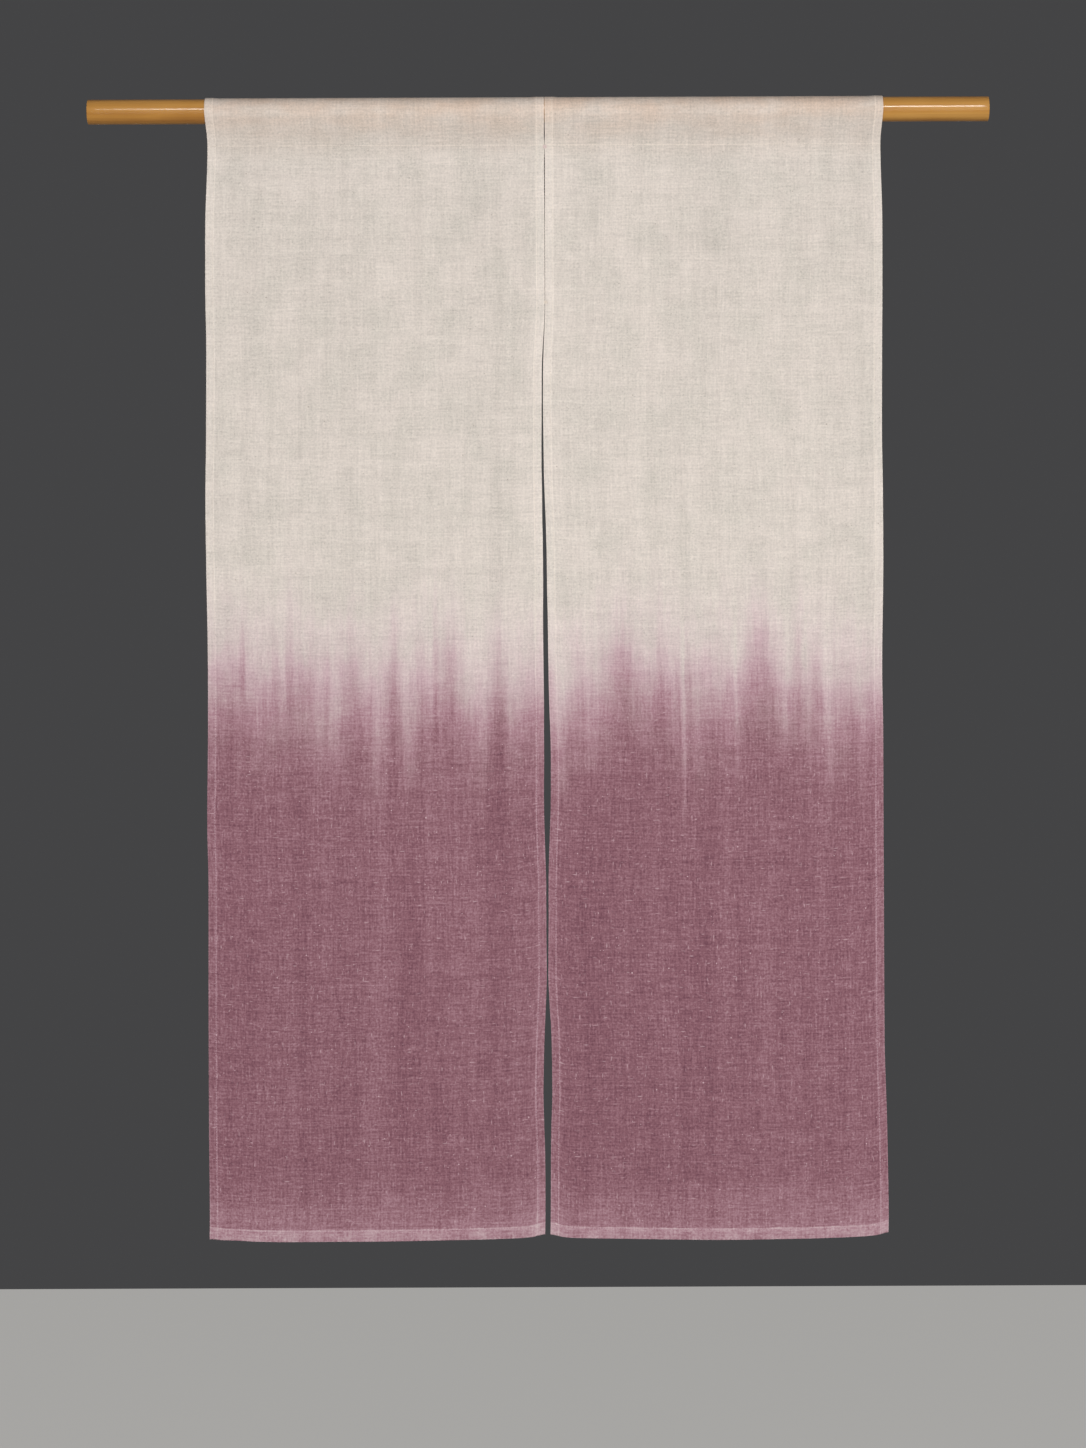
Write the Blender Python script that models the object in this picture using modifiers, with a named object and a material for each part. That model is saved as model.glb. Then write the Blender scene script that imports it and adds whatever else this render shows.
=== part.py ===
# Noren: a doorway curtain of two hemmed linen panels, sewn together at the top and slit below,
# that hangs from a round rod by the pocket along its top edge.
#
# Metres, +Z up. The origin is the centre of the rod's left end face. +X runs along the rod and the
# curtain faces -Y. A drop is a depth below the rod's axis.
import math

import bpy
import numpy as np

MM = 0.001

# Rod
ROD_LENGTH = 1.170
ROD_RADIUS = 0.016
ROD_SIDES = 64
ROD_EDGE = 0.0006  # bevel round both end faces

# Cloth
SHEET = 0.0010  # one layer
HEM_SHEET = 0.0018  # folded hem
ROD_GAP = 0.0005  # air between the rod and the cloth
LAYER_GAP = 0.0004  # air between two sewn layers

# Places along the rod
LEFT_EDGE_X = 0.1525
SEAM_X = 0.5930
RIGHT_EDGE_X = 1.0310

# Hems
SIDE_HEM = 0.011
BOTTOM_HEM = 0.015
HEM_STEP = 0.001  # width of the step from hem to single cloth

# Pocket for the rod
POCKET_TOP = ROD_RADIUS + ROD_GAP + SHEET
POCKET_STITCH_DROP = 0.045
POCKET_FLAP_DROP = 0.050  # where the turned-down back layer ends
WRAP_END_DEG = 33.0  # the cloth leaves the rod this far below its axis, front and back
ARC_ROWS = 21
SLOPE_ROWS = 6

# Rows of the hanging sheet and columns of one panel
SHEET_ROWS = 60
SHEET_COLUMNS = 12

# How far each outer edge swings outwards from a plumb line, in millimetres
OUTER_EDGES = (
    # drop, left panel, right panel
    (-20, 0.0, 1.2),
    (0, 0.0, 1.2),
    (45, -2.6, -1.2),
    (150, 0.7, 1.0),
    (230, 1.0, 0.8),
    (310, -0.1, 0.1),
    (420, 0.4, -0.5),
    (500, 1.6, 0.5),
    (580, 1.0, 0.6),
    (730, -0.9, -1.4),
    (810, -0.6, -0.3),
    (925, 0.8, -0.4),
    (1005, -0.5, -0.3),
    (1200, 0.1, -0.5),
    (1320, 0.0, 2.4),
    (1435, -0.6, 3.9),
    (1480, 0.0, 3.4),
)

# Where the two slit edges hang, in millimetres to the right of the seam
SLIT_EDGES = (
    # drop, left panel, right panel
    (-20, -0.2, 0.2),
    (235, -0.2, 0.2),
    (305, -4.3, -3.5),
    (420, -5.1, -3.7),
    (500, -5.0, -2.4),
    (580, -3.7, 0.2),
    (655, -4.1, 1.8),
    (735, -3.1, 3.2),
    (810, -3.3, 4.4),
    (890, -3.7, 5.1),
    (968, -2.0, 2.5),
    (1007, -0.8, 1.4),
    (1124, -0.7, 0.7),
    (1163, -2.1, 2.1),
    (1202, -3.6, 4.2),
    (1241, -5.0, 5.4),
    (1280, -5.1, 5.3),
    (1319, -4.9, 4.2),
    (1358, -3.4, 3.7),
    (1436, -3.2, 2.4),
    (1480, -3.8, 2.0),
)

# How low the bottom edge hangs, in millimetres, from the outer edge of each panel to its slit
BOTTOM_EDGES = (
    # part of the width, left panel, right panel
    (0.00, 1465.5, 1459.5),
    (0.03, 1466.5, 1462.8),
    (0.08, 1467.4, 1465.2),
    (0.14, 1469.4, 1466.8),
    (0.24, 1470.3, 1468.3),
    (0.42, 1469.7, 1468.9),
    (0.62, 1468.7, 1468.3),
    (0.80, 1468.0, 1467.4),
    (0.91, 1466.2, 1466.3),
    (0.96, 1464.2, 1464.6),
    (1.00, 1460.8, 1461.2),
)

# Soft waves that the hanging cloth keeps, in millimetres. Each one runs down the panel as a ridge
# towards the front, or as a trough where its rise is negative.
WAVES = (
    # panel, part of the width from the outer edge, half width, starts at drop, full at drop, rise
    ("left", 0.02, 42, 120, 520, 3.2),
    ("left", 0.27, 80, 260, 1100, -2.6),
    ("left", 0.55, 75, 380, 1300, 2.8),
    ("left", 0.80, 60, 520, 1250, -2.2),
    ("left", 1.00, 38, 620, 900, 3.6),
    ("right", 0.00, 46, 900, 1380, 4.4),
    ("right", 0.26, 70, 460, 1350, -2.8),
    ("right", 0.53, 85, 340, 1250, 3.0),
    ("right", 0.80, 64, 300, 1150, -2.4),
    ("right", 1.00, 36, 640, 880, 2.4),
)

WOOD_COLOUR = (0.47, 0.24, 0.085, 1.0)
LINEN_COLOUR = (0.62, 0.56, 0.50, 1.0)


def clear_scene():
    for obj in list(bpy.data.objects):
        bpy.data.objects.remove(obj, do_unlink=True)


def make_collection(name):
    collection = bpy.data.collections.new(name)
    bpy.context.scene.collection.children.link(collection)
    return collection


def make_material(name, colour, roughness, coat=0.0):
    material = bpy.data.materials.new(name)
    material.use_nodes = True
    shader = material.node_tree.nodes["Principled BSDF"]
    shader.inputs["Base Color"].default_value = colour
    shader.inputs["Roughness"].default_value = roughness
    shader.inputs["Metallic"].default_value = 0.0
    shader.inputs["Coat Weight"].default_value = coat
    material.diffuse_color = colour
    return material


def adopt(obj, name, collection, parent, material):
    # Names the newest object and puts it in the part's collection, under the part's empty.
    obj.name = name
    obj.data.name = name
    for owner in list(obj.users_collection):
        owner.objects.unlink(obj)
    collection.objects.link(obj)
    obj.parent = parent
    obj.data.materials.clear()
    obj.data.materials.append(material)
    return obj


def follow(table, column, at):
    # A smooth curve through one column of a table: a cubic between each two rows, level at each
    # peak and dip, so that it never swings past a row.
    rows = np.array(table, dtype=float)
    places, values = rows[:, 0], rows[:, column]
    steps = np.diff(values) / np.diff(places)
    product, total = steps[:-1] * steps[1:], steps[:-1] + steps[1:]
    slopes = np.zeros_like(values)
    np.divide(2 * product, total, out=slopes[1:-1], where=product > 0)
    at = np.clip(at, places[0], places[-1])
    row = np.clip(np.searchsorted(places, at, side="right") - 1, 0, len(places) - 2)
    width = places[row + 1] - places[row]
    t = (at - places[row]) / width
    lead = (2 * t**3 - 3 * t**2 + 1) * values[row] + (t**3 - 2 * t**2 + t) * width * slopes[row]
    tail = (3 * t**2 - 2 * t**3) * values[row + 1] + (t**3 - t**2) * width * slopes[row + 1]
    return lead + tail


def smoothstep(low, high, at):
    t = np.clip((at - low) / (high - low), 0.0, 1.0)
    return t * t * (3 - 2 * t)


def pocket_path():
    # The outer face of the pocket in the YZ plane, from the loose end of the back layer, over the
    # rod and down the front to the stitch line. The cloth hugs the rod above, and below it each
    # layer eases from the rod's slope into the vertical.
    leave = math.radians(WRAP_END_DEG)
    front_y = -(SHEET + LAYER_GAP / 2)
    back_y = SHEET + LAYER_GAP / 2
    angles = np.linspace(-leave, math.pi + leave, ARC_ROWS)
    arc = np.column_stack((POCKET_TOP * np.cos(angles), POCKET_TOP * np.sin(angles)))

    def slope(side, foot_y):
        # A cubic that starts along the rod's tangent and ends straight down on the stitch line.
        start = np.array((side * POCKET_TOP * math.cos(leave), -POCKET_TOP * math.sin(leave)))
        foot = np.array((foot_y, -POCKET_STITCH_DROP))
        reach = np.linalg.norm(foot - start)
        away = np.array((-side * math.sin(leave), -math.cos(leave))) * reach
        down = np.array((0.0, -1.0)) * reach
        t = np.linspace(0.0, 1.0, SLOPE_ROWS + 1)[1:, None]
        lead = (2 * t**3 - 3 * t**2 + 1) * start + (t**3 - 2 * t**2 + t) * away
        return lead + (3 * t**2 - 2 * t**3) * foot + (t**3 - t**2) * down

    loose_end = np.array([[back_y, -POCKET_FLAP_DROP]])
    return np.vstack((loose_end, slope(1, back_y)[::-1], arc, slope(-1, front_y)))


def sheet_drops():
    # Part of the way from the stitch line to the bottom edge for each row of the hanging sheet,
    # with extra rows at the hem's step.
    length = BOTTOM_EDGES[0][1] * MM - POCKET_STITCH_DROP
    hem_top = 1.0 - BOTTOM_HEM / length
    plain = np.linspace(0.0, hem_top - HEM_STEP / length, SHEET_ROWS)[1:]
    return np.concatenate((plain, (hem_top, 1.0)))


def panel_columns(width):
    # Places across a panel, from 0 to 1, with extra columns at the step of each side hem.
    hem = SIDE_HEM / width
    step = (SIDE_HEM + HEM_STEP) / width
    return np.concatenate(((0.0, hem), np.linspace(step, 1.0 - step, SHEET_COLUMNS), (1.0 - hem, 1.0)))


def wave_depth(panel, across, drop, width):
    depth = np.zeros_like(drop)
    for name, centre, half_width, starts, full, rise in WAVES:
        if name == panel:
            ridge = np.exp(-(((across - centre) * width / (half_width * MM)) ** 2))
            depth -= rise * MM * ridge * smoothstep(starts * MM, full * MM, drop)
    return depth


def edge_places(panel, drop):
    # The x of a panel's outer and slit edges at each drop.
    side, column = (-1, 1) if panel == "left" else (1, 2)
    plumb = LEFT_EDGE_X if panel == "left" else RIGHT_EDGE_X
    outer = plumb + side * follow(OUTER_EDGES, column, drop / MM) * MM
    slit = SEAM_X + follow(SLIT_EDGES, column, drop / MM) * MM
    return outer, slit


def make_panel(panel, collection, parent, material):
    # A flat grid bent into the panel's outer face, then thickened towards the rod and the back.
    column = 1 if panel == "left" else 2
    width = SEAM_X - LEFT_EDGE_X
    pocket = pocket_path()
    drops = sheet_drops()
    columns = panel_columns(width)
    bpy.ops.mesh.primitive_grid_add(
        x_subdivisions=len(columns) - 1, y_subdivisions=len(pocket) + len(drops) - 1, size=1
    )
    obj = adopt(bpy.context.object, "panel_" + panel, collection, parent, material)

    flat = np.empty(len(obj.data.vertices) * 3)
    obj.data.vertices.foreach_get("co", flat)
    flat = flat.reshape(-1, 3)
    row = np.rint((0.5 - flat[:, 1]) * (len(pocket) + len(drops) - 1)).astype(int)
    across = columns[np.rint((flat[:, 0] + 0.5) * (len(columns) - 1)).astype(int)]
    from_outer = across if panel == "left" else 1.0 - across

    # Rows of the pocket follow its path. Rows below it reach down to the bottom edge.
    in_pocket = row < len(pocket)
    bottom = follow(BOTTOM_EDGES, column, from_outer) * MM
    share = drops[np.clip(row - len(pocket), 0, len(drops) - 1)]
    drop = np.where(
        in_pocket,
        -pocket[np.clip(row, 0, len(pocket) - 1), 1],
        POCKET_STITCH_DROP + share * (bottom - POCKET_STITCH_DROP),
    )
    depth = np.where(
        in_pocket,
        pocket[np.clip(row, 0, len(pocket) - 1), 0],
        pocket[-1, 0] + wave_depth(panel, from_outer, drop, width),
    )
    outer, slit = edge_places(panel, drop)
    place = outer + (slit - outer) * from_outer
    obj.data.vertices.foreach_set("co", np.column_stack((place, depth, -drop)).ravel())
    obj.data.update()

    # Hems are thicker than the single cloth, below the pocket only.
    hem_columns = SIDE_HEM / width * 1.01
    side_hem = np.minimum(across, 1.0 - across) <= hem_columns
    bottom_hem = share >= drops[-2]
    hemmed = ~in_pocket & (share > drops[0]) & (side_hem | bottom_hem)
    thickness = obj.vertex_groups.new(name="thickness")
    thickness.add(np.flatnonzero(hemmed).tolist(), 1.0, "REPLACE")
    thickness.add(np.flatnonzero(~hemmed).tolist(), SHEET / HEM_SHEET, "REPLACE")
    solid = obj.modifiers.new("cloth", "SOLIDIFY")
    solid.thickness = HEM_SHEET
    solid.offset = -1.0
    solid.vertex_group = thickness.name
    solid.use_even_offset = True
    obj.data.shade_smooth()
    return obj


def make_rod(collection, parent, material):
    bpy.ops.mesh.primitive_cylinder_add(
        vertices=ROD_SIDES,
        radius=ROD_RADIUS,
        depth=ROD_LENGTH,
        location=(ROD_LENGTH / 2, 0, 0),
        rotation=(0, math.radians(90), 0),
    )
    obj = adopt(bpy.context.object, "rod", collection, parent, material)
    bevel = obj.modifiers.new("rounded_ends", "BEVEL")
    bevel.width = ROD_EDGE
    bevel.segments = 2
    bevel.limit_method = "ANGLE"
    obj.data.shade_smooth()
    obj.data.set_sharp_from_angle(angle=math.radians(40))
    return obj


clear_scene()
noren = make_collection("noren_curtain")
hanging = bpy.data.objects.new("hanging", None)
noren.objects.link(hanging)

make_rod(noren, hanging, make_material("rod", WOOD_COLOUR, 0.32, coat=0.4))
make_panel("left", noren, hanging, make_material("panel_left", LINEN_COLOUR, 0.92))
make_panel("right", noren, hanging, make_material("panel_right", LINEN_COLOUR, 0.92))
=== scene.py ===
import math

import bpy
import numpy as np
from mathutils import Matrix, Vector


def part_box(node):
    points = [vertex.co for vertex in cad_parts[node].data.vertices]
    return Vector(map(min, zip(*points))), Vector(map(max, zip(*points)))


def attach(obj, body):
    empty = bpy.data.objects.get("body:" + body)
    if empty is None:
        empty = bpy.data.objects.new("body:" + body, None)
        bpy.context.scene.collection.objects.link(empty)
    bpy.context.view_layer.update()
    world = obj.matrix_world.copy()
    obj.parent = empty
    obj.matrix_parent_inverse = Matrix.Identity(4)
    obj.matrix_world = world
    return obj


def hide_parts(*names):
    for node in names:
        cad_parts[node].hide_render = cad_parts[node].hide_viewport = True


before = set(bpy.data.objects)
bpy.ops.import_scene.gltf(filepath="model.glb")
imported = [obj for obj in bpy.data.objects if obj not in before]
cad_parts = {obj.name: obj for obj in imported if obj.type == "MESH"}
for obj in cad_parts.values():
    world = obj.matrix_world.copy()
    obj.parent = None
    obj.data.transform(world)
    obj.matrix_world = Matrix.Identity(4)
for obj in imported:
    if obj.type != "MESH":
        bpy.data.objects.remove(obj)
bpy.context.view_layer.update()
print("frame loaded:", sorted(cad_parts))

# noren curtain: two linen panels sewn together at the top, slit below, dip dyed, on a varnished rod
# everything is in metres. a drop is a depth below the rod's axis

mm = 0.001
rodLow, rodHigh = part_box("rod")
rodRadius = (rodHigh.z - rodLow.z) / 2
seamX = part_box("panel_left")[1].x + 0.2 * mm  # half the gap between the panels


def fromDisplay(red, green, blue):
    # display values 0..255 to linear light: the standard two part curve
    shown = np.array((red, green, blue)) / 255
    linear = np.where(shown <= 0.04045, shown / 12.92, ((shown + 0.055) / 1.055) ** 2.4)
    return (*linear.tolist(), 1.0)


def smoothStep(low, high, at):
    # 0 up to low, 1 from high on, and the cubic 3t^2 - 2t^3 between them
    t = np.clip((at - low) / (high - low), 0, 1)
    return t * t * (3 - 2 * t)


def follow(rows, column, at):
    # smooth curve through one column of a table: a cubic between each two rows, level at peaks
    table = np.array(rows, dtype=float)
    places, values = table[:, 0], table[:, column]
    steps = np.diff(values) / np.diff(places)
    product, total = steps[:-1] * steps[1:], steps[:-1] + steps[1:]
    slopes = np.zeros_like(values)
    np.divide(2 * product, total, out=slopes[1:-1], where=product > 0)
    at = np.clip(at, places[0], places[-1])
    row = np.clip(np.searchsorted(places, at, side="right") - 1, 0, len(places) - 2)
    width = places[row + 1] - places[row]
    t = (at - places[row]) / width
    lead = (2 * t**3 - 3 * t**2 + 1) * values[row] + (t**3 - 2 * t**2 + t) * width * slopes[row]
    tail = (3 * t**2 - 2 * t**3) * values[row + 1] + (t**3 - t**2) * width * slopes[row + 1]
    return lead + tail


def unit(vectors):
    # each vector over its own length
    return vectors / np.linalg.norm(vectors, axis=-1, keepdims=True)


def gridFaces(rows, columns, wrap=False):
    # quads of a grid with its points stored row by row. wrap joins the last column to the first
    row, column = np.meshgrid(np.arange(rows - 1), np.arange(columns - (not wrap)), indexing="ij")
    here = (row * columns + column).ravel()
    right = (row * columns + (column + 1) % columns).ravel()
    return np.column_stack((here, right, right + columns, here + columns))


def asLists(*faceArrays):
    # arrays of triangles and quads as one list of faces
    return [face for faces in faceArrays for face in faces.tolist()]


def meshObject(name, points, faces, material):
    # one piece from its points and faces, with its place in its mesh
    mesh = bpy.data.meshes.new(name)
    mesh.from_pydata(np.reshape(points, (-1, 3)).tolist(), [], faces)
    mesh.update()
    mesh.shade_smooth()
    mesh.materials.append(material)
    obj = bpy.data.objects.new(name, mesh)
    bpy.context.scene.collection.objects.link(obj)
    return obj


def addNode(tree, kind, wires=None, **settings):
    # one shader node. wires maps an input to a value or to another node's output
    made = tree.nodes.new("ShaderNode" + kind)
    for key, value in settings.items():
        setattr(made, key, value)
    for key, value in (wires or {}).items():
        if isinstance(value, bpy.types.NodeSocket):
            tree.links.new(value, made.inputs[key])
        else:
            made.inputs[key].default_value = value
    return made


def math2(tree, operation, a, b=0.0, clamp=False):
    # one Math node, b left out where the operation takes one value
    return addNode(tree, "Math", {0: a, 1: b}, operation=operation, use_clamp=clamp).outputs[0]


def remap(tree, value, fromLow, fromHigh, toLow, toHigh):
    # straight line from one range to another, held at both ends
    wires = {"Value": value, "From Min": fromLow, "From Max": fromHigh, "To Min": toLow, "To Max": toHigh}
    return addNode(tree, "MapRange", wires).outputs[0]


def stretchedNoise(tree, vector, scale, detail=2.0, roughness=0.5):
    # noise whose grain is 1/scale metres long each way
    placed = addNode(tree, "Mapping", {"Vector": vector, "Scale": scale}).outputs[0]
    wires = {"Vector": placed, "Scale": 1.0, "Detail": detail, "Roughness": roughness}
    return addNode(tree, "TexNoise", wires).outputs[0]


def ramp(tree, value, stops):
    # colours at places from 0 to 1, mixed between neighbours
    made = addNode(tree, "ValToRGB", {0: value})
    elements = made.color_ramp.elements
    while len(elements) < len(stops):
        elements.new(0.5)
    for element, (place, colour) in zip(elements, stops):
        element.position = place
        element.color = colour
    return made.outputs[0]


def freshTree(name):
    # a new material with nothing in its tree yet
    material = bpy.data.materials.new(name)
    material.use_nodes = True
    material.node_tree.nodes.clear()
    return material, material.node_tree


linen = {
    "threadPitch": 1.05 * mm,
    # colour of the cloth as it takes up more dye, from none to the deepest threads
    "dyeColours": (
        (0.00, fromDisplay(216, 207, 198)),
        (0.08, fromDisplay(214, 200, 196)),
        (0.29, fromDisplay(197, 171, 176)),
        (0.56, fromDisplay(169, 131, 141)),
        (0.80, fromDisplay(137, 95, 105)),
        (1.00, fromDisplay(110, 71, 83)),
    ),
    "fullDye": 0.80,  # place of the fully dyed cloth among those colours
    "undyedContrast": 0.25,  # how much single threads differ in brightness
    "dyedContrast": 0.34,  # how much they differ in the dye they took up
    "greyTint": fromDisplay(199, 194, 184),
    "pocketTint": fromDisplay(213, 192, 175),
    "nepColour": fromDisplay(120, 98, 84),
    "paleSlub": fromDisplay(203, 172, 179),
    # unevenness about zero: marks to the metre across and along, detail, roughness, size
    "warp": ((440, 30, 1), 4.0, 0.62, 0.68),  # slubs that run down
    "weft": ((34, 420, 1), 4.0, 0.62, 0.76),  # slubs that run across
    "grain": ((330, 330, 1), 3.0, 0.65, 1.05),
    "stripes": ((85, 1.9, 1), 3.0, 0.6, 0.9),
    "bars": ((3.2, 75, 1), 3.0, 0.6, 0.7),
    "broad": ((15, 0.8, 1), 2.0, 0.5, 1.0),
    "streak": ((330, 7, 1), 3.0, 0.6, 0.34),  # these three move the dye's front up and down
    "wick": ((115, 9, 1), 3.0, 0.6, 0.42),
    "pool": ((45, 9, 1), 2.0, 0.5, 0.34),
    # how much less dye each took
    "sidePaler": 0.05,
    "endPaler": 0.14,
    "linePaler": 0.16,
    "nearFoldPaler": 0.14,
    "nearFoldEnd": 85 * mm,  # above the bottom fold
    # change of brightness in the undyed cloth
    "sideLight": 0.075,
    "lineLight": 0.11,
    # painted shade: how much darker the top of the roll is drawn, for the little light it gets from above
    "paintedRollTopShade": -0.12,
    # painted shade: how much darker the band under the roll is drawn, where the cloth leaves the pole
    "paintedUnderRollShadeDepth": -0.085,
    "openWeave": -0.30,
    "relief": 0.25 * mm,
}


def ridge(tree, value, centre, halfWidth):
    # 1 on a line, falling evenly to 0 at halfWidth to either side
    away = math2(tree, "ABSOLUTE", math2(tree, "SUBTRACT", value, centre))
    return remap(tree, away, 0.0, halfWidth, 1.0, 0.0)


def makeLinen():
    # dip dyed linen: the mesh's dye, moved up and down by noise, times what each thread takes up, read
    # off a scale of colours. what stays undyed is tinted and shaded
    material, tree = freshTree("dyedLinen")

    def times(a, b, clamp=False):
        return math2(tree, "MULTIPLY", a, b, clamp)

    def plus(*values):
        total = values[0]
        for value in values[1:]:
            total = math2(tree, "ADD", total, value)
        return total

    def centred(vector, scale, detail, roughness, size=1.0):
        # noise about zero
        return remap(tree, stretchedNoise(tree, vector, scale, detail, roughness), 0.0, 1.0, -size, size)

    def attribute(name):
        return addNode(tree, "Attribute", attribute_name=name).outputs["Fac"]

    def largest(a, b):
        return math2(tree, "MAXIMUM", a, b)

    def mix(share, first, second):
        return addNode(tree, "MixRGB", {0: share, 1: first, 2: second}).outputs[0]

    cloth = addNode(tree, "UVMap", uv_map="cloth").outputs[0]
    dye, fromEdge, fromFold, fromStitch = map(attribute, ("dye", "fromEdge", "fromFold", "fromStitch"))

    # slubs: thick places in the warp run down, those in the weft run across
    warp = centred(cloth, *linen["warp"])
    weft = centred(cloth, *linen["weft"])
    threads = plus(warp, weft, centred(cloth, *linen["grain"]))
    bands = plus(centred(cloth, *linen["stripes"]), centred(cloth, *linen["bars"]))
    broad = centred(cloth, *linen["broad"])
    cloud = stretchedNoise(tree, cloth, (22, 17, 1), 4.0, 0.6)

    # a folded edge or a stitched line took less dye and shows paler
    side, end, step = panelShape["sideHem"], panelShape["bottomHem"], 0.4 * mm
    sideHem = remap(tree, fromEdge, side - step, side + step, 1.0, 0.0)
    endHem = remap(tree, fromFold, end - step, end + step, 1.0, 0.0)
    sideLine = ridge(tree, fromEdge, side - 0.5 * mm, 1.1 * mm)
    edgeLine = times(ridge(tree, fromEdge, 0.6 * mm, 1.3 * mm), 0.7)
    pocketLine = ridge(tree, fromStitch, 0.0, 1.3 * mm)
    endLine = ridge(tree, fromFold, end - 0.6 * mm, 1.1 * mm)
    lines = largest(largest(sideLine, edgeLine), largest(pocketLine, endLine))
    uneven = remap(tree, stretchedNoise(tree, cloth, (60, 60, 1), 3.0, 0.6), 0.3, 0.7, 0.35, 1.3)
    lines = times(lines, uneven)
    nearFold = remap(tree, fromFold, end, linen["nearFoldEnd"], linen["nearFoldPaler"], 0.0)
    patchy = remap(tree, stretchedNoise(tree, cloth, (42, 30, 1), 3.0, 0.6), 0.36, 0.64, 0.45, 1.60)
    paler = plus(times(sideHem, linen["sidePaler"]), times(times(endHem, patchy), linen["endPaler"]),
                 times(lines, linen["linePaler"]), nearFold)

    # the dye climbs further up some threads than others
    climb = plus(*(centred(cloth, *linen[name]) for name in ("streak", "wick", "pool")))
    front = math2(tree, "POWER", times(dye, math2(tree, "SUBTRACT", 1.0, dye)), 0.7)
    soaked = math2(tree, "ADD", dye, times(front, climb), clamp=True)
    uptake = plus(times(threads, -linen["dyedContrast"]), times(bands, -0.11), times(broad, -0.11),
                  linen["fullDye"], times(paler, -1.0))
    base = ramp(tree, times(soaked, uptake, clamp=True), linen["dyeColours"])

    # cloudy greyer patches in the undyed linen, and the warmer cloth round the pole
    undyed = math2(tree, "SUBTRACT", 1.0, soaked, clamp=True)
    patch = times(remap(tree, cloud, 0.40, 0.70, 0.0, 0.55), undyed)
    tinted = mix(patch, base, linen["greyTint"])
    blush = remap(tree, stretchedNoise(tree, cloth, (13, 26, 1), 3.0, 0.6), 0.36, 0.62, 0.4, 1.15)
    warm = math2(tree, "POWER", remap(tree, fromStitch, -60 * mm, 26 * mm, 1.0, 0.0), 1.5)
    warmed = mix(times(warm, blush), tinted, linen["pocketTint"])

    # brightness: single threads, lighter hems, painted shade darkening the top of the roll, a band of
    # painted shade where the cloth leaves the pole, and darker specks where the weave is open
    swing = plus(times(threads, linen["undyedContrast"]), times(bands, 0.11), times(broad, 0.06))
    hemmed = plus(times(sideHem, linen["sideLight"]), times(lines, linen["lineLight"]))
    # painted shade: darkens the top of the roll, most at its upper edge, nothing from 48 mm above the
    # stitches down
    paintedRollTopShade = remap(tree, fromStitch, -61 * mm, -48 * mm, linen["paintedRollTopShade"], 0.0)
    # painted shade: a darker band under the roll where the cloth leaves the pole, deepest 14 mm above the
    # stitches
    paintedUnderRollShade = times(ridge(tree, fromStitch, -14 * mm, 28 * mm), linen["paintedUnderRollShadeDepth"])
    speck = stretchedNoise(tree, cloth, (380, 450, 1), 2.0, 0.6)
    sparse = remap(tree, cloud, 0.35, 0.70, 0.25, 1.0)
    openWeave = times(remap(tree, speck, 0.56, 0.74, 0.0, linen["openWeave"]), sparse)
    bright = plus(1.0, paintedRollTopShade, paintedUnderRollShade, times(plus(swing, hemmed, openWeave), undyed))
    shaded = addNode(tree, "VectorMath", {0: warmed, "Scale": bright}, operation="SCALE").outputs[0]

    # neps: tiny knots, dark in the undyed linen and pale in the dyed. pale slubs took less dye
    knots = stretchedNoise(tree, cloth, (290, 310, 1), 0.0)
    nep = times(remap(tree, knots, 0.835, 0.87, 0.0, 0.40), undyed)
    dotted = mix(nep, shaded, linen["nepColour"])
    down = remap(tree, stretchedNoise(tree, cloth, (400, 95, 1), 1.0), 0.67, 0.78, 0.0, 0.55)
    over = remap(tree, stretchedNoise(tree, cloth, (85, 420, 1), 1.0), 0.67, 0.78, 0.0, 0.55)
    paleNep = remap(tree, knots, 0.14, 0.175, 0.9, 0.0)
    fleck = times(largest(largest(down, over), paleNep), soaked)
    colour = mix(fleck, dotted, linen["paleSlub"])

    # plain weave: warp and weft cross over and under, so the height is a product of two waves
    split = addNode(tree, "SeparateXYZ", {0: cloth})
    turn = math.pi / linen["threadPitch"]
    across, along = (math2(tree, "SINE", times(split.outputs[axis], turn)) for axis in (0, 1))
    height = plus(times(times(across, along), 0.25), threads)
    bump = addNode(tree, "Bump", {"Height": height, "Strength": 0.35, "Distance": linen["relief"]})

    surface = addNode(tree, "BsdfPrincipled", {
        "Base Color": colour,
        "Roughness": remap(tree, threads, -0.6, 0.6, 0.82, 0.95),
        "Specular IOR Level": 0.25,
        "Sheen Weight": 0.08,
        "Sheen Roughness": 0.6,
        "Normal": bump.outputs[0],
    })
    addNode(tree, "OutputMaterial", {"Surface": surface.outputs[0]})
    return material


threadTones = (
    (0.0, fromDisplay(234, 223, 210)),
    (0.4, fromDisplay(218, 196, 196)),
    (1.0, fromDisplay(205, 172, 182)),
)


def makeThread():
    # the thread took up dye with the cloth round it, but less
    material, tree = freshTree("sewingThread")
    place = addNode(tree, "TexCoord").outputs["Object"]
    dye = addNode(tree, "Attribute", attribute_name="dye").outputs["Fac"]
    base = ramp(tree, dye, threadTones)
    fuzz = stretchedNoise(tree, place, (900, 900, 900), 2.0)
    shade = remap(tree, fuzz, 0.25, 0.75, 0.82, 1.12)
    colour = addNode(tree, "VectorMath", {0: base, "Scale": shade}, operation="SCALE").outputs[0]
    bump = addNode(tree, "Bump", {"Height": fuzz, "Strength": 0.4, "Distance": 0.1 * mm})
    surface = addNode(tree, "BsdfPrincipled", {
        "Base Color": colour, "Roughness": 0.7, "Sheen Weight": 0.15, "Normal": bump.outputs[0]})
    addNode(tree, "OutputMaterial", {"Surface": surface.outputs[0]})
    return material


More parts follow.
